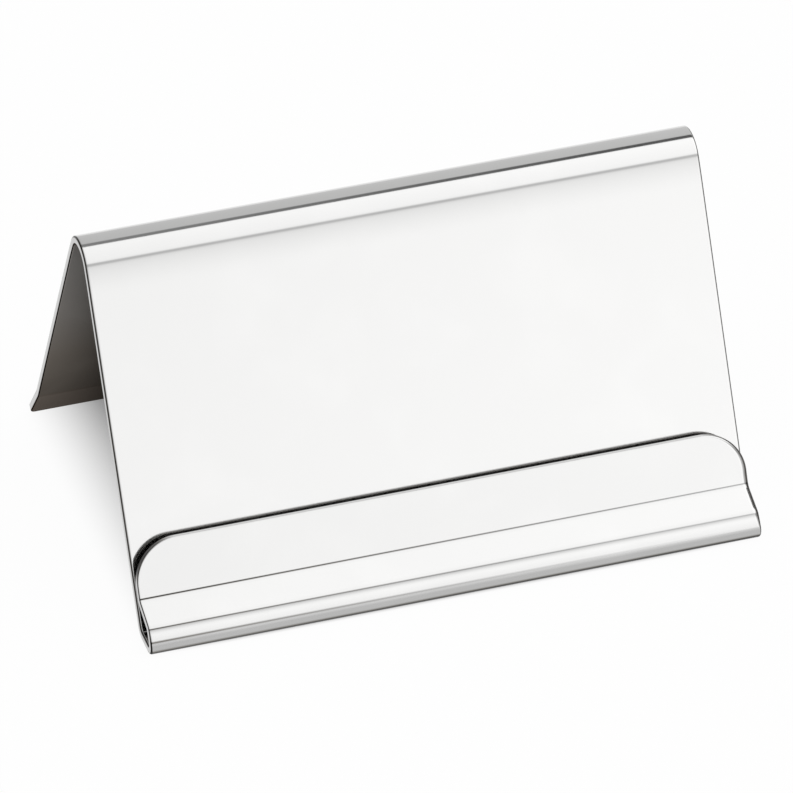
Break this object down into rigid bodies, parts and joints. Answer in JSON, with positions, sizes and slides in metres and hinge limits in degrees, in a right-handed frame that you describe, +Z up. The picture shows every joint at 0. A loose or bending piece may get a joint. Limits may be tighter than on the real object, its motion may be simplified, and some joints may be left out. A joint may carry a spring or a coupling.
{
  "type": "place card holder",
  "caption": "Folded tent of mirror-polished steel sheet whose front foot rolls back into a low lip that holds a place card against the sloping panel.",
  "frame": {"origin": "on the table, in the middle of the footprint", "axes": "+X along the width, the card faces -Y, +Z up"},
  "size_m": [0.06, 0.0418, 0.0325],
  "materials": {
    "polished_steel": "mirror-polished stainless steel with very fine polishing lines"
  },
  "bodies": {
    "stand": {"rear_toe": "polished_steel", "rear_leg": "polished_steel", "ridge_bend": "polished_steel", "front_panel": "polished_steel", "heel_bend": "polished_steel", "foot_base": "polished_steel", "foot_curl_lower": "polished_steel", "foot_curl_upper": "polished_steel"},
    "lip": {"lip_leaf": "polished_steel", "lip_crease": "polished_steel", "lip_strip": "polished_steel"}
  },
  "joints": [
    {"name": "lip_spring", "type": "hinge", "parent": "stand", "child": "lip", "pos_m": [0, -0.01945, 0.0015], "axis": [1, 0, 0], "range_deg": [0, 3], "stiffness_Nm_per_rad": 80, "deforming": ["foot_curl_lower", "foot_curl_upper"]}
  ]
}
